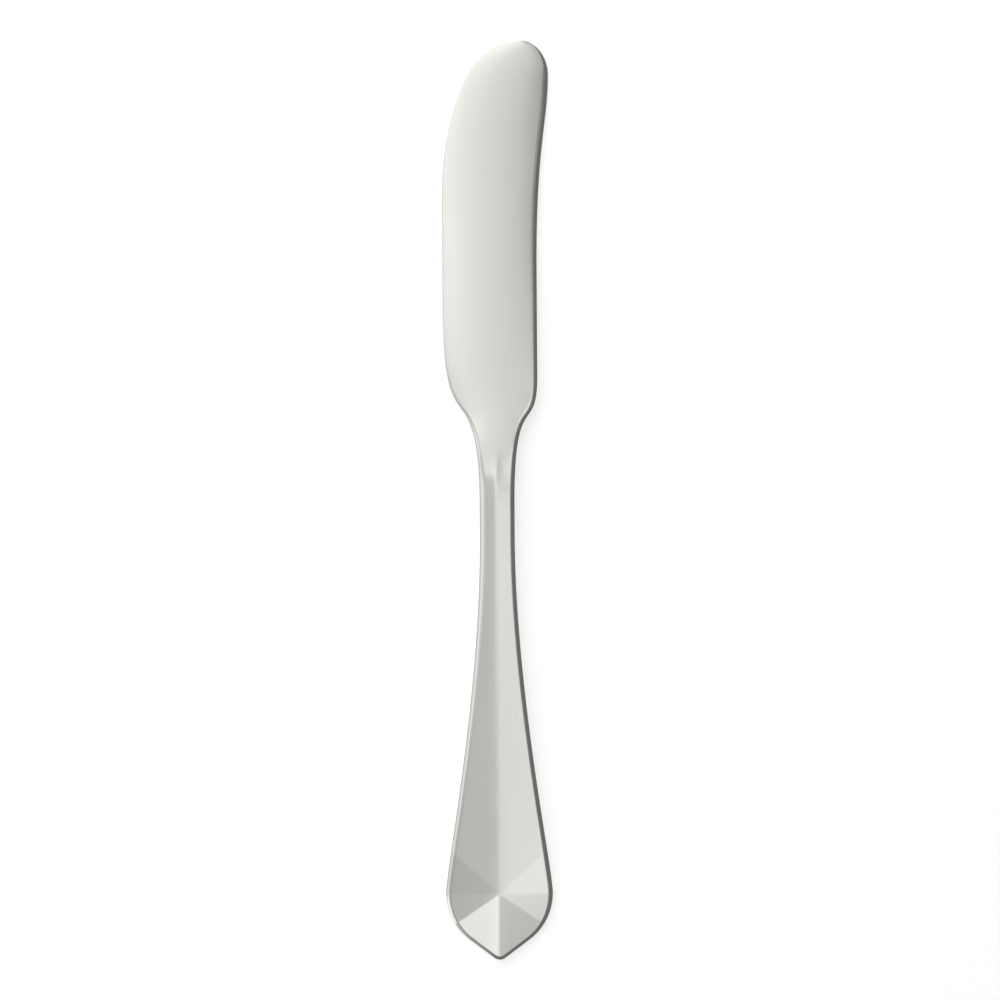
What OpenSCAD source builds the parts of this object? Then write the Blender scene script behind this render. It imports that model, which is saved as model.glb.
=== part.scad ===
// Butter knife struck in one piece: a round-nosed spreading blade, a narrow neck and a
// long handle that rises to a ridge and ends in eight facets round one peak.
//
// The knife lies on its flat back with its worked front up. +Y runs from the handle's
// point to the blade's tip, and +X is the side of the spine. The origin lies on the
// underside, below the middle of the knife's length and width.

/* [Handle end] */
// Width across the peak, where the handle is widest
end_w = 19.8; // [17:0.1:23]
// Thickness at the peak
end_t = 3.5; // [2.8:0.1:4.4]
// Radius that blunts the point
point_r = 1.6; // [1:0.1:3]
// Radius of each cheek, from the straight flank to the widest place
cheek_r = 10.8; // [8:0.1:13]
// Angle between each straight flank and the knife's length
flank_a = 53.5; // [46:0.5:60]
// Angle by which the face bends down at the two upper creases
upper_bend_a = 3.2; // [1:0.1:5]
// Angle by which it bends down at the two level creases
level_bend_a = 2.6; // [1:0.1:4]
// Angle by which it bends back at the two lower creases
lower_bend_a = 5.6; // [3:0.1:7]

/* [Handle] */
// Length of the taper from the widest place to the neck
taper_l = 66; // [55:1:80]
// Angle at which the two long faces fall away from the ridge
face_a = 10.5; // [8:0.1:12]
// Width of the rounded rim along the handle and the spine, seen from above
rim_w = 1.1; // [0.8:0.05:1.3]
// Width of the rim at the point
point_rim_w = 0.7; // [0.5:0.05:0.9]
// Angle that the rim bends down to before it turns to the upright wall
rim_a = 40; // [30:1:55]
// Radius that softens the lower edge, all round the back
back_r = 0.5; // [0.2:0.05:0.7]

/* [Neck] */
// Width of the neck
neck_w = 6.5; // [5.6:0.1:8.5]
// Thickness of the ridge at the neck
neck_t = 3.4; // [3:0.1:4.2]
// Length of the straight stretch of the neck
neck_l = 5.6; // [2:0.1:12]

/* [Blade] */
// Length from the end of the neck to the tip
blade_l = 86; // [78:1:100]
// Reach of the spreading edge from the ridge's line
edge_reach = 9.9; // [8.5:0.1:11]
// Reach of the straight spine from the ridge's line
spine_reach = 7.6; // [6.5:0.1:8.5]
// Reach of the spine's flare, just short of the tip
flare_reach = 9.9; // [8.6:0.1:11]
// Reach of the tip itself, which lies on the spine's side
tip_reach = 4.9; // [3:0.1:6]
// Length over which the shoulder swells to the spreading edge
heel_l = 36; // [28:1:40]
// Length over which the shoulder swells to the spine
shoulder_l = 24; // [18:1:30]
// Length over which the ridge sinks into the blade
fade_l = 22; // [16:1:26]
// Length of the belly that turns from the spreading edge to the tip
belly_l = 29; // [24:1:32]
// Length over which the spine flares out
flare_l = 36; // [26:1:40]
// Length of the round corner between the flare and the tip
corner_l = 6.4; // [4:0.1:9]
// Thickness by which the blade is thicker at the neck than at the tip
heel_t = 1.5; // [1.2:0.1:1.8]
// Thickness of the spreading edge, without what the heel adds
edge_t = 0.7; // [0.5:0.05:1]
// Thickness of the spine, without what the heel adds
spine_t = 1.2; // [1:0.05:1.6]
// Thickness at the tip
tip_t = 1; // [0.8:0.05:1.4]
// Height of the crown that swells the middle of the blade
crown_t = 0.4; // [0.1:0.05:0.6]
// Width of the rim along the spreading edge and the tip
edge_rim_w = 0.4; // [0.3:0.05:0.5]

/* [Hidden] */

// Steps along each stretch of the outline
point_steps = 4;
cheek_steps = 10;
taper_steps = 22;
neck_steps = 2;
heel_steps = 20;
side_steps = 6;
belly_steps = 30;
// Steps across one half of the front on each side of its crease, and round each rim
inner_steps = 3;
outer_steps = 3;
gentle_steps = 3;
tight_steps = 2;
foot_steps = 3;
// Steps from the peak to the ends of the upper creases and of the lower ones
upper_crease_steps = 5;
lower_crease_steps = 6;

// Handles of the outline's curves, as shares of the stretch that they shape
taper_lead_share = 0.07;
taper_tail_share = 0.44;
heel_lead_share = 0.72;
heel_tail_share = 0.75;
shoulder_lead_share = 0.93;
shoulder_tail_share = 0.49;
belly_lead_share = 0.08;
belly_tail_share = 0.99;
flare_lead_share = 0.64;
flare_tail_share = 0.25;
corner_share = 0.51;
// Place of the middle column where no crease runs, as a share of the half width
plain_share = 0.5;
// Part of the blade, from its tip back, over which the edges thin out to the tip
thinning_share = 0.5;
// Part of the rim's width in which it turns to the wall
turn_share = 0.06;
// Length over which the spine's rim narrows, as a multiple of the tip corner's length
narrowing_share = 1.3;
// Most of the wall's height that its upper and its lower rounding may take
rim_wall_share = 0.6;
back_wall_share = 0.35;

// Places along the length, measured from the point
cheek_x = end_w / 2 - cheek_r;
peak_y = (cos(flank_a) * cheek_x + cheek_r - point_r * (1 - sin(flank_a))) / sin(flank_a);
neck_y = peak_y + taper_l;
blade_y = neck_y + neck_l;
knife_l = blade_y + blade_l;
// Middle of the outline's width, which the origin lies below
middle_x = (max(end_w / 2, flare_reach) - max(end_w / 2, edge_reach)) / 2;

// Points on a round arc, with its first point
function arc(centre, r, from_a, to_a, steps) = [
    for (i = [0:steps])
        let (a = from_a + (to_a - from_a) * i / steps)
        centre + r * [cos(a), sin(a)]
];

// Points on a smooth curve, without its first point. It leaves `from` along `lead` and
// comes in to `to` along `tail`.
function curve(from, lead, tail, to, steps) = [
    for (i = [1:steps])
        let (u = i / steps, v = 1 - u)
        v^3 * from + 3 * v^2 * u * (from + lead) + 3 * v * u^2 * (to - tail) + u^3 * to
];

// A curve that starts and ends along the knife's length
function swell(from, lead_share, tail_share, to, steps) =
    let (l = to.y - from.y)
    curve(from, [0, lead_share * l], [0, tail_share * l], to, steps);

// Rises gently from 0 at `from` to 1 at `to`
function ease(v, from, to) =
    let (u = min(1, max(0, (v - from) / (to - from))))
    u * u * (3 - 2 * u);

function mix(a, b, share) = a + (b - a) * share;

function flip(points) = [for (p = points) [-p.x, p.y]];

// One side of the handle from the point to the blade: the blunted point, the straight
// flank, the round cheek, the long taper and the neck
handle_side = concat(
    arc([0, point_r], point_r, -90, -flank_a, point_steps),
    arc([cheek_x, peak_y], cheek_r, -flank_a, 0, cheek_steps),
    swell([end_w / 2, peak_y], taper_lead_share, taper_tail_share, [neck_w / 2, neck_y], taper_steps),
    swell([neck_w / 2, neck_y], 0, 0, [neck_w / 2, blade_y], neck_steps)
);

// The blade's spreading edge: the heel, the long side and the belly round to the tip
heel_end = [-edge_reach, blade_y + heel_l];
belly_start = [-edge_reach, knife_l - belly_l];
tip = [tip_reach, knife_l];
edge_side = concat(
    swell([-neck_w / 2, blade_y], heel_lead_share, heel_tail_share, heel_end, heel_steps),
    swell(heel_end, 0, 0, belly_start, side_steps),
    curve(belly_start, [0, belly_lead_share * belly_l],
        [belly_tail_share * (tip_reach + edge_reach), 0], tip, belly_steps)
);

// The blade's spine: the shoulder, the straight back, the flare and the tip's corner
shoulder_end = [spine_reach, blade_y + shoulder_l];
flare_end = [flare_reach, knife_l - corner_l];
flare_start = [spine_reach, flare_end.y - flare_l];
spine_side = concat(
    swell([neck_w / 2, blade_y], shoulder_lead_share, shoulder_tail_share, shoulder_end, heel_steps),
    [flare_start],
    swell(flare_start, flare_lead_share, flare_tail_share, flare_end, heel_steps),
    curve(flare_end, [0, corner_share * corner_l],
        [corner_share * (tip_reach - flare_reach), 0], tip, belly_steps)
);

// The rows of the loft: one point of the left outline each, and the point of the right
// outline that lies across from it
left = concat(flip(handle_side), edge_side);
spine_table = [for (p = concat(handle_side, spine_side)) [p.y, p.x]];
right = [for (p = left) [lookup(p.y, spine_table), p.y]];
last = len(left) - 1;
peak_row = point_steps + cheek_steps + 1;

// Direction square to the outline, pointing out of the knife. It is straight along the
// length at the point and at the tip.
function outward(side, i, turn) =
    i == 0 ? [0, -1] :
    i == last ? [0, 1] :
    let (d = side[i + 1] - side[i - 1]) turn * [d.y, -d.x] / norm(d);

// Width of the rim, seen from above
function handle_rim(y) = mix(point_rim_w, rim_w, ease(y, 0, peak_y));
function edge_rim(y) = mix(handle_rim(y), edge_rim_w, ease(y, blade_y, blade_y + heel_l));
function spine_rim(y) =
    mix(handle_rim(y), edge_rim_w, ease(y, knife_l - narrowing_share * corner_l, knife_l));

left_out = [for (i = [0:last]) outward(left, i, -1)];
right_out = [for (i = [0:last]) outward(right, i, 1)];
// Where the front face meets the rounded rim
left_in = [for (i = [0:last]) left[i] - edge_rim(left[i].y) * left_out[i]];
right_in = [for (i = [0:last]) right[i] - spine_rim(right[i].y) * right_out[i]];

// The creases run from the peak to these two rows of the rim
upper_end = right_in[peak_row + upper_crease_steps];
lower_end = right_in[peak_row - lower_crease_steps];
peak = [0, peak_y];

// Direction square to a crease, turned clockwise from its run
function clockwise(run) = [run.y, -run.x] / norm(run);

// Slopes of the four right-hand facets round the peak, each bent down from the one
// before it at their common crease. The left half mirrors them.
long_slope = [-tan(face_a), (neck_t - end_t) / taper_l];
upper_slope = long_slope - tan(upper_bend_a) * clockwise(upper_end - peak);
lower_slope = upper_slope - tan(level_bend_a) * clockwise([1, 0]);
point_slope = lower_slope - tan(lower_bend_a) * clockwise(lower_end - peak);
slopes = [long_slope, upper_slope, lower_slope, point_slope];

// Height of the faceted handle: the lowest of its planes
function handle_top(p) = min([for (s = slopes) end_t + s * [abs(p.x), p.y - peak_y]]);

// Height of the blade at a share of its width from the spreading edge to the spine: a
// wedge that thickens towards the spine and the neck, with a crown that narrows with it
function blade_top(i, share) =
    let (
        thinning = ease(left[i].y, knife_l - blade_l * thinning_share, knife_l),
        wedge = mix(mix(edge_t, tip_t, thinning), mix(spine_t, tip_t, thinning), share),
        taper = heel_t * min(1, (knife_l - left[i].y) / blade_l),
        width_share = (right[i].x - left[i].x) / (edge_reach + spine_reach)
    )
    taper + wedge + crown_t * min(1, width_share) * 4 * share * (1 - share);

// Height of the front: the ridge of the handle sinks into the crown of the blade
function top(i, share, p) =
    mix(handle_top(p), blade_top(i, share), ease(p.y, blade_y, blade_y + fade_l));

// Place of the crease in a row, as a share of the way from the ridge to the rim
function crease_share(i) =
    let (
        lower_row = peak_row - lower_crease_steps,
        upper_row = peak_row + upper_crease_steps,
        end = i < peak_row ? lower_end : upper_end
    )
    i < lower_row || i > upper_row ? plain_share :
    i == lower_row || i == upper_row ? 1 :
    end.x * (right_in[i].y - peak_y) / (end.y - peak_y) / right_in[i].x;

// Places across a row from the ridge to the rim, as shares of the half width
function half_shares(i) =
    let (c = crease_share(i))
    concat(
        [for (k = [1:inner_steps]) c * k / inner_steps],
        [for (k = [1:outer_steps]) mix(c, 1, k / outer_steps)]
    );

// Plan view of a row's front, from the left rim over the ridge to the right rim. On the
// blade the middle column moves over to the middle of the blade.
function front_plan(i) =
    let (
        a = left_in[i],
        b = right_in[i],
        halves = half_shares(i),
        n = len(halves),
        drift = ease(a.y, blade_y + fade_l, knife_l),
        m = a.x == b.x ? a : [mix(0, (a.x + b.x) / 2, drift), (a.y + b.y) / 2]
    )
    concat(
        [for (k = [n - 1:-1:0]) mix(m, a, halves[k])],
        [m],
        [for (k = [0:n - 1]) mix(m, b, halves[k])]
    );

function front(i) =
    let (plan = front_plan(i), a = plan[0].x, b = plan[len(plan) - 1].x)
    [for (p = plan) [p.x, p.y, top(i, a == b ? 0 : (p.x - a) / (b - a), p)]];

// Points down a rim of a given width: how far each lies in from the outline, and below the
// front. The rim leaves the face at its slope and bends gently, then it turns to the wall.
function rim_profile(w) =
    let (
        turn_w = w * turn_share,
        turn_r = turn_w / (1 - sin(rim_a)),
        gentle_r = (w - turn_w) / (sin(rim_a) - sin(face_a)),
        gentle_drop = gentle_r * (cos(face_a) - cos(rim_a))
    )
    concat(
        [for (k = [1:gentle_steps])
            let (a = mix(face_a, rim_a, k / gentle_steps))
            [w - gentle_r * (sin(a) - sin(face_a)), gentle_r * (cos(face_a) - cos(a))]],
        [for (k = [1:tight_steps])
            let (a = mix(rim_a, 90, k / tight_steps))
            [turn_w - turn_r * (sin(a) - sin(rim_a)), gentle_drop + turn_r * (cos(rim_a) - cos(a))]]
    );

// The rim below one end of a front row: the rounding, the upright wall and the softened
// lower edge, from top to bottom
function rim(inner, outer, out, w) =
    let (
        profile = rim_profile(w),
        squeeze = min(1, inner.z * rim_wall_share / profile[len(profile) - 1].y),
        foot = min(back_r, inner.z * back_wall_share)
    )
    concat(
        [for (p = profile)
            let (q = outer - p.x * out)
            [q.x, q.y, inner.z - squeeze * p.y]],
        [for (k = [0:foot_steps])
            let (a = 90 * k / foot_steps, q = outer - foot * (1 - cos(a)) * out)
            [q.x, q.y, foot * (1 - sin(a))]]
    );

function reverse(list) = [for (k = [len(list) - 1:-1:0]) list[k]];

// One closed ring of points, from the left foot over the front to the right foot
function ring(i) =
    let (f = front(i))
    concat(
        reverse(rim(f[0], left[i], left_out[i], edge_rim(left[i].y))),
        f,
        rim(f[len(f) - 1], right[i], right_out[i], spine_rim(right[i].y))
    );

rings = [for (i = [0:last]) ring(i)];
ring_size = len(rings[0]);
points = [for (r = rings) each r];

// Triangles between neighbouring rings, without those that shrink to a line
function is_open(t) = points[t[0]] != points[t[1]] && points[t[1]] != points[t[2]]
    && points[t[2]] != points[t[0]];

faces = [
    for (i = [0:last - 1], k = [0:ring_size - 1])
        let (
            a = i * ring_size + k,
            b = i * ring_size + (k + 1) % ring_size,
            c = a + ring_size,
            d = b + ring_size
        )
        each [for (t = [[a, c, d], [a, d, b]]) if (is_open(t)) t]
];

module knife() {
    color("silver")
        translate([-middle_x, -knife_l / 2, 0])
            polyhedron(points = points, faces = faces, convexity = 6);
}

knife();
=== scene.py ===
from bisect import bisect
from math import cos, hypot, pi, radians, sin

import bpy
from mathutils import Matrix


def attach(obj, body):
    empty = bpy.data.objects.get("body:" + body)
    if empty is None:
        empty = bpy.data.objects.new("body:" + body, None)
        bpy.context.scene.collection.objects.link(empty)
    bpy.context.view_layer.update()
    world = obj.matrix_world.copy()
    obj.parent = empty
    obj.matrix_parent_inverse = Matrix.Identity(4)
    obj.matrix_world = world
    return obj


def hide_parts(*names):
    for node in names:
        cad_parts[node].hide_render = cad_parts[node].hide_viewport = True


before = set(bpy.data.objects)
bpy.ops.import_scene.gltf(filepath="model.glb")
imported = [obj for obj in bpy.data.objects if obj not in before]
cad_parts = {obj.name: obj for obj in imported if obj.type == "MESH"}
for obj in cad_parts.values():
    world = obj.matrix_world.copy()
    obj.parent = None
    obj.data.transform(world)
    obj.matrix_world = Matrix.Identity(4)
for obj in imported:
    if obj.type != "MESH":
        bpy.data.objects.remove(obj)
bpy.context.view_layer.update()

# Camera. The knife was photographed from straight above with a long lens. In the picture
# its handle points down, and it leans a third of a degree to the left.
mm = 0.001
picture_w = 184.98 * mm
lens_mm = 200
aside = 0.52 * mm
left_lean_a = radians(0.352)
camera_data = bpy.data.cameras.new("camera")
camera_data.lens = lens_mm
camera_data.clip_start = 0.05
camera_data.clip_end = 20
camera = bpy.data.objects.new("camera", camera_data)
camera.location = (aside, 0, picture_w * lens_mm / camera_data.sensor_width)
camera.rotation_euler = (0, 0, -left_lean_a)
bpy.context.scene.collection.objects.link(camera)
bpy.context.scene.camera = camera

# Knife. One blank of silver-coloured metal, struck to shape and polished to a satin: a
# round-nosed blade, a narrow neck, and a handle that rises to a ridge and ends in eight
# facets round one peak. It lies on its flat back.

# The handle, its end and its facets. A crease is how far it runs across and along from
# the peak.
end_w = 19.8 * mm
end_t = 3.5 * mm
point_r = 1.6 * mm
cheek_r = 10.8 * mm
flank_a = radians(53.5)
upper_bend_a = radians(3.2)
level_bend_a = radians(2.6)
lower_bend_a = radians(5.6)
upper_crease = (7.94 * mm, 6.92 * mm)
lower_crease = (7.47 * mm, -5.25 * mm)
taper_l = 66 * mm
face_a = radians(10.5)

# The rim, and the rounding of the back's edge
rim_w = 1.1 * mm
point_rim_w = 0.7 * mm
edge_rim_w = 0.2 * mm
rim_a = radians(40)
rim_turn_share = 0.06
rim_wall_share = 0.6
back_r = 0.5 * mm
back_wall_share = 0.35

# The neck and the blade
neck_w = 6.5 * mm
neck_t = 3.4 * mm
neck_l = 5.6 * mm
blade_l = 86 * mm
edge_reach = 9.9 * mm
spine_reach = 7.6 * mm
flare_reach = 9.9 * mm
tip_reach = 4.9 * mm
heel_l = 36 * mm
shoulder_l = 24 * mm
fade_l = 22 * mm
belly_l = 29 * mm
flare_l = 36 * mm
corner_l = 6.4 * mm
edge_t = 0.7 * mm
spine_t = 1.2 * mm
tip_t = 1 * mm
crown_t = 0.4 * mm
blade_lean_a = radians(5)
narrowing_l = 1.3 * corner_l
heel_t = 1.5 * mm
thinning_l = blade_l / 2

# How the ridge runs out past the neck, and where the blade's own shape starts
ridge_end = 3.5 * mm
ridge_end_l = 8 * mm
flat_l = 6 * mm
forming_l = 14 * mm

# Places along the length, measured from the point
cheek_x = end_w / 2 - cheek_r
peak_y = (cos(flank_a) * cheek_x + cheek_r - point_r * (1 - sin(flank_a))) / sin(flank_a)
neck_y = peak_y + taper_l
blade_y = neck_y + neck_l
knife_l = blade_y + blade_l


def arc(centre_x, centre_y, r, start, end, steps):
    """Points of a round arc, both ends included."""
    turns = [start + (end - start) * i / steps for i in range(steps + 1)]
    return [(centre_x + r * cos(a), centre_y + r * sin(a)) for a in turns]


def curve(start, lead, tail, end, steps):
    """Points of a smooth curve that leaves start along lead and comes in to end along tail."""
    points = []
    for i in range(1, steps + 1):
        u = i / steps
        v = 1 - u
        points.append(tuple(
            v**3 * s + 3 * v * v * u * (s + a) + 3 * v * u * u * (e - b) + u**3 * e
            for s, a, b, e in zip(start, lead, tail, end)))
    return points


def swell(start, lead_share, tail_share, end, steps):
    """A curve that starts and ends along the knife's length."""
    length = end[1] - start[1]
    return curve(start, (0, lead_share * length), (0, tail_share * length), end, steps)


# The outline: the handle's side, the spreading edge and the spine, finely divided. A pair
# of leads says how far a curve keeps its first and its last direction, in shares of its
# length or its width.
fine = 240
tip_fine = 4 * fine
handle_leads = (0.07, 0.44)
heel_leads = (0.72, 0.75)
belly_leads = (0.08, 0.99)
shoulder_leads = (0.93, 0.49)
flare_leads = (0.64, 0.25)
corner_leads = (0.51, 0.51)
handle_side = (
    arc(0, point_r, point_r, -pi / 2, -flank_a, fine)
    + arc(cheek_x, peak_y, cheek_r, -flank_a, 0, fine)
    + swell((end_w / 2, peak_y), *handle_leads, (neck_w / 2, neck_y), fine)
    + [(neck_w / 2, blade_y)])
heel_end = (-edge_reach, blade_y + heel_l)
belly_start = (-edge_reach, knife_l - belly_l)
tip = (tip_reach, knife_l)
edge_side = (
    swell((-neck_w / 2, blade_y), *heel_leads, heel_end, fine)
    + [belly_start]
    + curve(belly_start, (0, belly_leads[0] * belly_l),
        (belly_leads[1] * (tip_reach + edge_reach), 0), tip, tip_fine))
flare_end = (flare_reach, knife_l - corner_l)
flare_start = (spine_reach, flare_end[1] - flare_l)
spine_side = (
    swell((neck_w / 2, blade_y), *shoulder_leads, (spine_reach, blade_y + shoulder_l), fine)
    + [flare_start]
    + swell(flare_start, *flare_leads, flare_end, fine)
    + curve(flare_end, (0, corner_leads[0] * corner_l),
        (corner_leads[1] * (tip_reach - flare_reach), 0), tip, tip_fine))


def reach(side, y):
    """How far a side of the outline lies from the ridge's line at a place along the length."""
    i = min(max(bisect(side, y, key=lambda p: p[1]), 1), len(side) - 1)
    (x0, y0), (x1, y1) = side[i - 1], side[i]
    return x0 + (x1 - x0) * (y - y0) / (y1 - y0) if y1 > y0 else x1


# Rows of the loft, close together round the point, the facets and the tip
point_row_n = 12
flank_start = 0.07 * mm
facets_l = 9.6 * mm
before_neck_l = 2 * mm
tip_row_step = 8
rows = [point_r * (1 - cos((pi / 2 - flank_a) * i / point_row_n)) for i in range(point_row_n)]
facets_y = peak_y + facets_l
bend_y = neck_y - before_neck_l
for low_y, high_y, count in (
    (rows[-1] + flank_start, facets_y, 190),
    (facets_y, bend_y, 80),
    (bend_y, blade_y + fade_l, 70),
    (blade_y + fade_l, knife_l - belly_l, 44),
):
    rows += [low_y + (high_y - low_y) * i / count for i in range(count)]
belly_side = edge_side[-tip_fine:]
rows += [p[1] for p in [belly_start] + belly_side[tip_row_step - 1::tip_row_step]]
rows[-1] = knife_l
left_side = [(-x, y) for x, y in handle_side] + edge_side
right_side = handle_side + spine_side
left = [(reach(left_side, y), y) for y in rows]
right = [(reach(right_side, y), y) for y in rows]
left[-1] = right[-1] = tip


def outward(side, turn):
    """Directions square to the outline in each row, pointing out of the knife."""
    found = [(0, -1)]
    for (x0, y0), (x1, y1) in zip(side, side[2:]):
        run = hypot(x1 - x0, y1 - y0)
        found.append((turn * (y1 - y0) / run, -turn * (x1 - x0) / run))
    return found + [(0, 1)]


# The rails: one point a row, which carries both sides of the outline
rails = bpy.data.meshes.new("rails")
rails.from_pydata([(0, y, 0) for y in rows], [], [])
for name, places in (
    ("left", left), ("right", right),
    ("left out", outward(left, -1)), ("right out", outward(right, 1)),
):
    stored = rails.attributes.new(name, "FLOAT_VECTOR", "POINT")
    stored.data.foreach_set("vector", [v for x, y in places for v in (x, y, 0)])
knife = bpy.data.objects.new("butter_knife", rails)
bpy.context.scene.collection.objects.link(knife)


class Field:
    """A value in a node tree, which takes plain arithmetic."""

    def __init__(self, socket):
        self.socket = socket

    def __add__(self, other):
        return reckon("ADD", self, other)

    def __sub__(self, other):
        return reckon("SUBTRACT", self, other)

    def __rsub__(self, other):
        return reckon("SUBTRACT", other, self)

    def __mul__(self, other):
        return reckon("MULTIPLY", self, other)

    def __truediv__(self, other):
        return reckon("DIVIDE", self, other)

    def __gt__(self, other):
        return reckon("GREATER_THAN", self, other)

    __radd__ = __add__
    __rmul__ = __mul__


nodes_a_column, column_w, node_h = 10, 200, 180


def put(tree, kind, inputs, **settings):
    """Adds a node, sets it up and feeds its inputs with fields or plain values."""
    node = tree.nodes.new(kind)
    column, place_down = divmod(len(tree.nodes), nodes_a_column)
    node.location = (column_w * column, -node_h * place_down)
    for name, value in settings.items():
        setattr(node, name, value)
    for key, value in inputs.items():
        if isinstance(value, Field):
            tree.links.new(value.socket, node.inputs[key])
        else:
            node.inputs[key].default_value = value
    return node


def reckon(operation, *values):
    """One step of arithmetic, in the tree of the first field among its values."""
    tree = next(v for v in values if isinstance(v, Field)).socket.id_data
    node = put(tree, "ShaderNodeMath", dict(enumerate(values)), operation=operation)
    return Field(node.outputs[0])


def between(a, b, share):
    return a + (b - a) * share


def ramp(value, start, end, smooth=False):
    """Rises from 0 at start to 1 at end, and stays there."""
    node = put(value.socket.id_data, "ShaderNodeMapRange",
        {"Value": value, "From Min": start, "From Max": end},
        interpolation_type="SMOOTHSTEP" if smooth else "LINEAR")
    return Field(node.outputs["Result"])


def along(field):
    """The two plan parts of a vector field."""
    parts = put(field.socket.id_data, "ShaderNodeSeparateXYZ", {"Vector": field})
    return Field(parts.outputs["X"]), Field(parts.outputs["Y"])


loft = bpy.data.node_groups.new("knife loft", "GeometryNodeTree")
loft.is_modifier = True
loft.interface.new_socket("Geometry", in_out="INPUT", socket_type="NodeSocketGeometry")
loft.interface.new_socket("Geometry", in_out="OUTPUT", socket_type="NodeSocketGeometry")
sizes = {
    "End thickness": end_t,
    "Neck thickness": neck_t,
    "Face angle": face_a,
    "Upper bend": upper_bend_a,
    "Level bend": level_bend_a,
    "Lower bend": lower_bend_a,
    "Point ridge softness": 1 * mm,
    "Ridge softness": 0.6 * mm,
    "Neck ridge softness": 0.22 * mm,
    "Crease softness": 0.16 * mm,
    "Level crease softness": 0.45 * mm,
    "Rim width": rim_w,
    "Point rim width": point_rim_w,
    "Edge rim width": edge_rim_w,
    "Rim angle": rim_a,
    "Back radius": back_r,
    "Edge thickness": edge_t,
    "Spine thickness": spine_t,
    "Tip thickness": tip_t,
    "Crown": crown_t,
    "Heel thickness": heel_t,
}
for name, value in sizes.items():
    loft.interface.new_socket(name, in_out="INPUT", socket_type="NodeSocketFloat").default_value = value
entry = put(loft, "NodeGroupInput", {})
size = {name: Field(entry.outputs[name]) for name in sizes}
rail = Field(entry.outputs["Geometry"])

# Columns across one half of a row: the front, the rim, one step down the wall, the lower
# rounding and the back
front_n, gentle_n, rim_n, foot_n, back_n = 56, 7, 12, 4, 3
half_n = front_n + rim_n + 1 + foot_n + back_n
sheet = put(loft, "GeometryNodeMeshGrid",
    {"Size X": 1, "Size Y": 1, "Vertices X": 2 * half_n + 1, "Vertices Y": len(rows)})
index = Field(put(loft, "GeometryNodeInputIndex", {}).outputs[0])
row = reckon("FLOORED_MODULO", index, len(rows))
step = reckon("FLOOR", index / len(rows)) - half_n
is_right = step > 0
away = reckon("ABSOLUTE", step)
across = ramp(away, 0, front_n)
round_rim = ramp(away, front_n, front_n + rim_n)
round_foot = ramp(away, front_n + rim_n + 1, half_n - back_n)
back_share = ramp(away, half_n - back_n, half_n)
is_lower = away > front_n + rim_n + 0.5


def carried(name):
    """The plan parts of what the rails carry under a name, in this point's row."""
    value = put(loft, "GeometryNodeInputNamedAttribute", {"Name": name}, data_type="FLOAT_VECTOR")
    taken = put(loft, "GeometryNodeSampleIndex",
        {"Geometry": rail, "Value": Field(value.outputs["Attribute"]), "Index": row},
        data_type="FLOAT_VECTOR")
    return along(Field(taken.outputs["Value"]))


left_x, y = carried("left")
right_x, right_y = carried("right")
left_out = carried("left out")
right_out = carried("right out")

# The rim: it starts at the lean of the face beside it and turns down to the wall
handle_rim = between(size["Point rim width"], size["Rim width"], ramp(y, 0, peak_y, True))
left_rim = between(handle_rim, size["Edge rim width"], ramp(y, blade_y, blade_y + heel_l, True))
right_rim = between(
    handle_rim, size["Edge rim width"], ramp(y, knife_l - narrowing_l, knife_l, True))
rim = between(left_rim, right_rim, is_right)
blade_share = ramp(y, blade_y, blade_y + fade_l, True)
lean = between(size["Face angle"], blade_lean_a, blade_share)
left_in = [a - left_rim * b for a, b in zip((left_x, y), left_out)]
right_in = [a - right_rim * b for a, b in zip((right_x, right_y), right_out)]

# Plan of the front. On the blade the middle column moves over to the blade's middle.
drift = ramp(y, blade_y + fade_l, knife_l, True)
middle = [(left_in[0] + right_in[0]) * 0.5 * drift, (left_in[1] + right_in[1]) * 0.5]
rim_in = [between(a, b, is_right) for a, b in zip(left_in, right_in)]
plan_x, plan_y = [between(m, r, across) for m, r in zip(middle, rim_in)]


# Height of the handle: the lowest of four planes on each side, with the ridge and each
# crease a little rounded by the polishing
def square_to(run):
    """Direction square to a crease, turned clockwise from its run."""
    length = hypot(*run)
    return run[1] / length, -run[0] / length


upper_turn = square_to(upper_crease)
lower_turn = square_to(lower_crease)
ridge_softness = between(
    between(size["Point ridge softness"], size["Ridge softness"], ramp(plan_y, 0, peak_y)),
    size["Neck ridge softness"], ramp(plan_y, peak_y, neck_y))
soft_x = reckon("SQRT", plan_x * plan_x + ridge_softness * ridge_softness)
from_peak = plan_y - peak_y
slope_x = 0 - reckon("TANGENT", size["Face angle"])
slope_y = (size["Neck thickness"] - size["End thickness"]) / taper_l
crest = size["End thickness"] + slope_x * ridge_softness + slope_y * from_peak
height = size["End thickness"] + slope_x * soft_x + slope_y * from_peak
for bend, turn, softness in (
    ("Upper bend", upper_turn, "Crease softness"),
    ("Level bend", (0, -1), "Level crease softness"),
    ("Lower bend", lower_turn, "Crease softness"),
):
    fall = reckon("TANGENT", size[bend])
    slope_x = slope_x - fall * turn[0]
    slope_y = slope_y - fall * turn[1]
    plane = size["End thickness"] + slope_x * soft_x + slope_y * from_peak
    height = reckon("SMOOTH_MIN", height, plane, fall * size[softness])

# Height of the blade: a wedge that thickens towards the spine, with a crown on it. Next to
# the neck it is flat across.
thinning = ramp(y, knife_l - thinning_l, knife_l, True)
edge_side_t = between(size["Edge thickness"], size["Tip thickness"], thinning)
spine_side_t = between(size["Spine thickness"], size["Tip thickness"], thinning)
width_share = reckon("MINIMUM", (right_x - left_x) / (edge_reach + spine_reach), 1)
taper = size["Heel thickness"] * (1 - ramp(y, blade_y, knife_l))
formed = ramp(y, blade_y + flat_l, blade_y + flat_l + forming_l, True)


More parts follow.
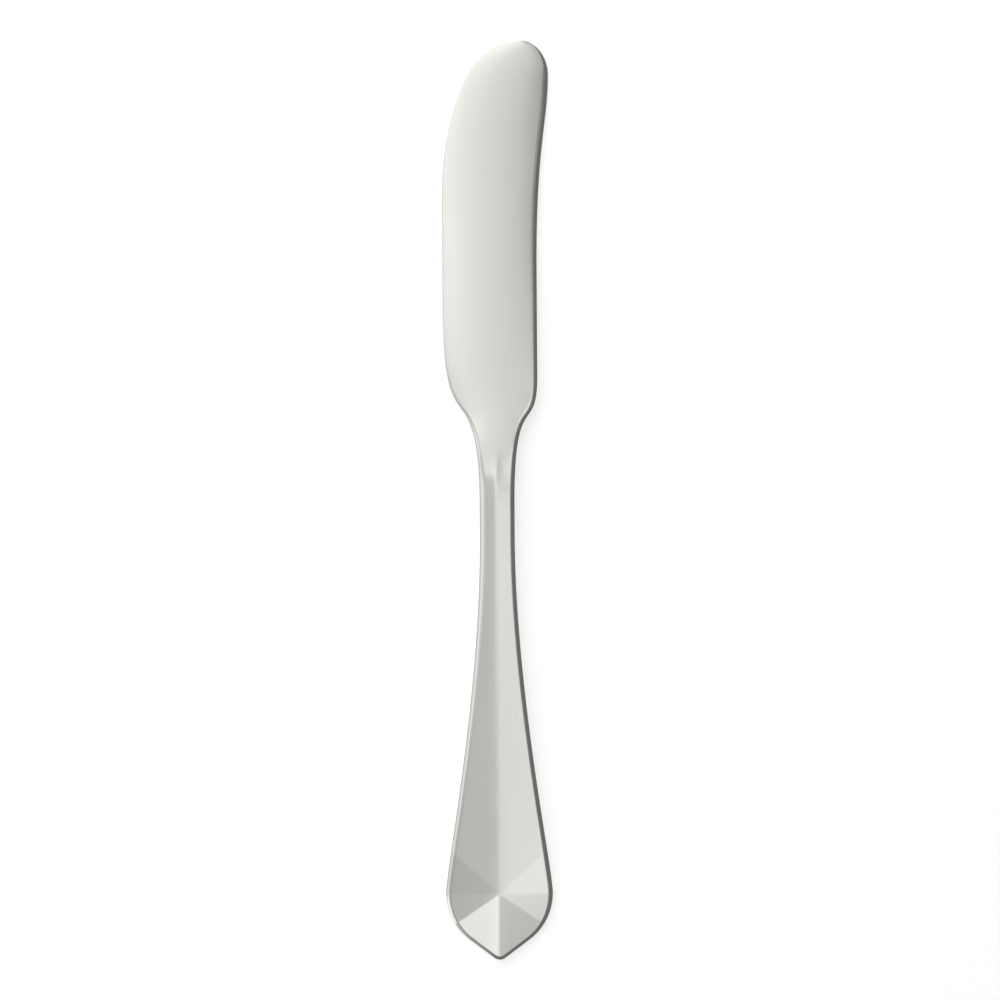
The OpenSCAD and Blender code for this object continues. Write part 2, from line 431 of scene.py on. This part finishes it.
def blade_height(x):
    """Height of the blade's face at a place across it."""
    share = (x - left_in[0]) / (right_in[0] - left_in[0])
    arch = 4 * share * (1 - share)
    crown = size["Crown"] * width_share * between(1, arch, formed)
    return taper + between(edge_side_t, spine_side_t, between(0.5, share, formed)) + crown


# The ridge's two faces flatten out over the blade's first part, while its crest runs
# down more slowly to the height of the blade
blade_crest = blade_height(0)
settled = ramp(plan_y, blade_y, blade_y + fade_l, True)
flattened = ramp(plan_y, blade_y + ridge_end, blade_y + ridge_end + ridge_end_l, True)
top = (between(crest, blade_crest, settled)
    + between(height - crest, blade_height(plan_x) - blade_crest, flattened))

# The ring of a row from its front down to its back. The rim bends gently down to its
# steepest angle, and turns more tightly from there to the wall.
turn_w = rim * rim_turn_share
turn_r = turn_w / (1 - reckon("SINE", size["Rim angle"]))
rim_r = (rim - turn_w) / (reckon("SINE", size["Rim angle"]) - reckon("SINE", lean))
bent = between(lean, size["Rim angle"], ramp(away, front_n, front_n + gentle_n))
turned = between(size["Rim angle"], pi / 2, ramp(away, front_n + gentle_n, front_n + rim_n))
drop = (rim_r * (reckon("COSINE", lean) - reckon("COSINE", bent))
    + turn_r * (reckon("COSINE", size["Rim angle"]) - reckon("COSINE", turned)))
full_drop = (rim_r * (reckon("COSINE", lean) - reckon("COSINE", size["Rim angle"]))
    + turn_r * reckon("COSINE", size["Rim angle"]))
foot = reckon("MINIMUM", size["Back radius"], top * back_wall_share)
foot_turned = round_foot * (pi / 2)
rim_z = top - drop * reckon("MINIMUM", top * rim_wall_share / full_drop, 1)
foot_z = foot * (1 - reckon("SINE", foot_turned))
rim_inset = (rim - rim_r * (reckon("SINE", bent) - reckon("SINE", lean))
    - turn_r * (reckon("SINE", turned) - reckon("SINE", size["Rim angle"])))
inset = between(rim_inset, foot * (1 - reckon("COSINE", foot_turned)), is_lower)
ring = []
for plan, out, side, inner, mid in (
    (plan_x, 0, (left_x, right_x), rim_in[0], middle[0]),
    (plan_y, 1, (y, right_y), rim_in[1], middle[1]),
):
    edge = between(*side, is_right)
    outer = edge - inset * between(left_out[out], right_out[out], is_right)
    ring.append(between(plan + (outer - inner), mid, back_share))
place = put(loft, "ShaderNodeCombineXYZ",
    {"X": ring[0], "Y": ring[1] - knife_l / 2, "Z": between(rim_z, foot_z, is_lower)})

# How far the metal is polished beyond the front's satin: it rises round the rim, and is
# full from there down the wall and over the back. Where the sheet closes, along the back
# and at the point and the tip, its points are made one.
polished_from = 0.6
weld_reach = 0.002 * mm
shaped = put(loft, "GeometryNodeSetPosition",
    {"Geometry": Field(sheet.outputs["Mesh"]), "Position": Field(place.outputs[0])})
worn = put(loft, "GeometryNodeStoreNamedAttribute",
    {"Geometry": Field(shaped.outputs[0]), "Name": "polished",
        "Value": ramp(round_rim, 0, polished_from)},
    data_type="FLOAT", domain="POINT")
joined = put(loft, "GeometryNodeMergeByDistance",
    {"Geometry": Field(worn.outputs[0]), "Distance": weld_reach})
smoothed = put(loft, "GeometryNodeSetShadeSmooth", {"Geometry": Field(joined.outputs[0])})
made = put(loft, "GeometryNodeRealizeInstances", {"Geometry": Field(smoothed.outputs[0])})
finish = put(loft, "GeometryNodeSetMaterial", {"Geometry": Field(made.outputs[0])})
put(loft, "NodeGroupOutput", {"Geometry": Field(finish.outputs[0])})

# The metal: a pale, slightly warm silver colour with a satin polish. Fine lines run along
# the length, broad soft patches vary the polish, and a few hairlines show from use.
darker_silver = (0.79, 0.79, 0.75, 1)
lighter_silver = (0.81, 0.808, 0.768, 1)
patch_share = 0.7
line_share = 0.3
tone_from, tone_to = 0.3, 0.7
satin = 0.2
patch_roughness = 0.05
line_roughness = 0.05
hairline_roughness = 0.06
polished_off = 0.03
hairline_w = 0.004
hairline_turns = (0.35, -0.6, 1.2)
used_from, used_to = 0.52, 0.66
line_depth = 0.5
hairline_depth = 0.6
relief_depth = 0.002 * mm
silver = bpy.data.materials.new("satin_silver")
silver.use_nodes = True
metal = silver.node_tree
shader = metal.nodes["Principled BSDF"]
shader.inputs["Metallic"].default_value = 1
object_place = Field(put(metal, "ShaderNodeTexCoord", {}).outputs["Object"])


def grain(scale, detail, turn=0.0):
    """Noise over the knife. The scale is how often it varies in a metre, each way."""
    drawn = put(metal, "ShaderNodeMapping",
        {"Vector": object_place, "Rotation": (0, 0, turn), "Scale": scale})
    noise = put(metal, "ShaderNodeTexNoise",
        {"Vector": Field(drawn.outputs[0]), "Scale": 1, "Detail": detail, "Roughness": 0.6})
    return Field(noise.outputs["Fac"])


lines = grain((7000, 90, 7000), 3)
broad_lines = grain((1300, 24, 1300), 2)
patches = grain((60, 45, 60), 3)
hairs = [ramp(reckon("ABSOLUTE", grain((420, 16, 420), 0, turn) - 0.5), hairline_w, 0.0)
    for turn in hairline_turns]
all_hairs = reckon("MAXIMUM", reckon("MAXIMUM", hairs[0], hairs[1]), hairs[2])
hairline = all_hairs * ramp(grain((180, 180, 180), 1, 0.4), used_from, used_to)
polished = Field(put(metal, "ShaderNodeAttribute", {}, attribute_name="polished").outputs["Fac"])
roughness = (satin + patches * patch_roughness + (lines - 0.5) * line_roughness
    + hairline * hairline_roughness - polished * polished_off)
metal.links.new(roughness.socket, shader.inputs["Roughness"])
tone = put(metal, "ShaderNodeMixRGB", {
    "Fac": ramp(patches * patch_share + broad_lines * line_share, tone_from, tone_to),
    "Color1": darker_silver,
    "Color2": lighter_silver,
})
metal.links.new(tone.outputs[0], shader.inputs["Base Color"])
relief = put(metal, "ShaderNodeBump", {
    "Height": ((lines - 0.5) * line_depth + (broad_lines - 0.5) * line_depth
        - hairline * hairline_depth),
    "Strength": 0.25,
    "Distance": relief_depth,
})
metal.links.new(relief.outputs[0], shader.inputs["Normal"])

finish.inputs["Material"].default_value = silver
shaping = knife.modifiers.new("loft", "NODES")
shaping.node_group = loft
for socket in loft.interface.items_tree:
    if socket.in_out == "INPUT" and socket.name in sizes:
        shaping[socket.identifier] = sizes[socket.name]
evaluated = knife.evaluated_get(bpy.context.evaluated_depsgraph_get())
knife_mesh = bpy.data.meshes.new_from_object(evaluated)
knife.modifiers.clear()
knife.data = knife_mesh
knife_mesh.name = "butter_knife"
knife_mesh.materials.pop(index=0)
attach(knife, "root")
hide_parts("knife")

# Floor. A plain white sheet that runs out under the knife. It shows white in the picture
# and in the metal, and keeps the soft shadow under the knife. Where the soft boxes no
# longer reach it, it glows more, so that it stays white.
floor_w = 12
half_w = floor_w / 2
paper_tone = 0.86
near_glow = 0.5
far_glow = 1
lit_r = 0.3
far_r = 1
floor_mesh = bpy.data.meshes.new("floor")
floor_mesh.from_pydata(
    [(-half_w, -half_w, 0), (half_w, -half_w, 0), (half_w, half_w, 0), (-half_w, half_w, 0)],
    [], [(0, 1, 2, 3)])
floor = bpy.data.objects.new("floor", floor_mesh)
bpy.context.scene.collection.objects.link(floor)
paper = bpy.data.materials.new("white_sheet")
paper.use_nodes = True
sheet_nodes = paper.node_tree
sheet_shader = sheet_nodes.nodes["Principled BSDF"]
sheet_shader.inputs["Base Color"].default_value = (paper_tone, paper_tone, paper_tone, 1)
sheet_shader.inputs["Roughness"].default_value = 0.9
sheet_shader.inputs["Specular IOR Level"].default_value = 0
sheet_shader.inputs["Emission Color"].default_value = (1, 1, 1, 1)
sheet_x, sheet_y = along(Field(put(sheet_nodes, "ShaderNodeTexCoord", {}).outputs["Object"]))
from_middle = reckon("SQRT", sheet_x * sheet_x + sheet_y * sheet_y)
glow = between(near_glow, far_glow, ramp(from_middle, lit_r, far_r, True))
light_path = put(sheet_nodes, "ShaderNodeLightPath", {})
seen = Field(light_path.outputs["Is Camera Ray"]) * glow
sheet_nodes.links.new(seen.socket, sheet_shader.inputs["Emission Strength"])
mirrored = reckon("MAXIMUM",
    Field(light_path.outputs["Is Glossy Ray"]), Field(light_path.outputs["Is Transmission Ray"]))
white = put(sheet_nodes, "ShaderNodeEmission", {"Strength": 1})
choice = put(sheet_nodes, "ShaderNodeMixShader",
    {0: mirrored, 1: Field(sheet_shader.outputs[0]), 2: Field(white.outputs[0])})
sheet_nodes.links.new(choice.outputs[0], sheet_nodes.nodes["Material Output"].inputs["Surface"])
floor_mesh.materials.append(paper)

# Light. A dim room with flat white soft boxes. Fifteen hang level over the knife, each
# where one part of the knife mirrors it, and four stand at the left and beyond the tip.
# None stands at the right, which draws the dark line along the spine.
room_brightness = 0.16
white_paper = pi
room = bpy.data.worlds.new("dim_room")
room.use_nodes = True
room_light = room.node_tree.nodes["Background"]
room_light.inputs["Color"].default_value = (1, 1, 1, 1)
room_light.inputs["Strength"].default_value = room_brightness
bpy.context.scene.world = room


def soft_box(name, place, width, depth, brightness, facing):
    """A flat box that glows evenly. White paper that is fully lit has a brightness of 1."""
    data = bpy.data.lights.new(name, "AREA")
    data.shape = "RECTANGLE"
    data.size = width
    data.size_y = depth
    data.energy = brightness * white_paper * width * depth
    box = bpy.data.objects.new(name, data)
    box.location = place
    box.rotation_euler = facing
    box.visible_camera = False
    bpy.context.scene.collection.objects.link(box)


# Each hanging box is a little higher than the one before it, so no two share a plane
hanging_boxes = {   # left, right, near side, far side, brightness
    "far left": (-0.80, -0.23, -0.04, 0.34, 0.70),
    "near left": (-0.80, -0.23, -0.46, -0.04, 0.25),
    "beyond the tip": (-0.42, 0.06, 0.20, 0.75, 1.05),
    "left strip": (-0.17, -0.12, 0.06, 0.20, 1.55),
    "heel": (-0.17, -0.12, -0.04, 0.06, 1.05),
    "left face": (-0.23, -0.12, -0.20, -0.04, 0.45),
    "ridge": (-0.12, -0.03, -0.20, -0.04, 0.50),
    "spreading edge": (-0.12, -0.03, -0.04, 0.20, 0.75),
    "middle of the blade": (-0.03, 0.06, -0.04, 0.20, 0.60),
    "spine": (0.06, 0.105, 0.12, 0.34, 0.75),
    "shoulder": (0.06, 0.34, -0.04, 0.06, 0.90),
    "right face": (-0.03, 0.34, -0.21, -0.04, 0.65),
    "right cheek": (0.20, 0.34, -0.22, -0.09, 0.40),
    "right of the point": (-0.03, 0.26, -0.34, -0.20, 0.65),
    "left of the point": (-0.23, -0.03, -0.35, -0.22, 1.30),
}
hanging_z = 0.5
hanging_step = 0.5 * mm
for i, (name, (low_x, high_x, near_y, far_y, brightness)) in enumerate(hanging_boxes.items()):
    middle_of_box = ((low_x + high_x) / 2, (near_y + far_y) / 2, hanging_z + i * hanging_step)
    soft_box(name, middle_of_box, high_x - low_x, far_y - near_y, brightness, (0, 0, 0))

standing_boxes = {   # direction, distance, width, low and high edge, brightness
    "left screen": (180, 0.8, 1.2, 0.14, 0.64, 0.60),
    "tip screen": (90, 0.8, 1.2, 0.02, 0.64, 1.05),
    "far corner": (143, 0.85, 0.6, 0.02, 0.60, 0.80),
    "near corner": (217, 0.85, 0.6, 0.02, 0.60, 0.45),
}
for name, (direction, distance, width, low_z, high_z, brightness) in standing_boxes.items():
    turned_to = radians(direction)
    stand = (distance * cos(turned_to), distance * sin(turned_to), (low_z + high_z) / 2)
    soft_box(name, stand, width, high_z - low_z, brightness, (pi / 2, 0, turned_to + pi / 2))

bpy.context.scene.view_settings.view_transform = "Standard"
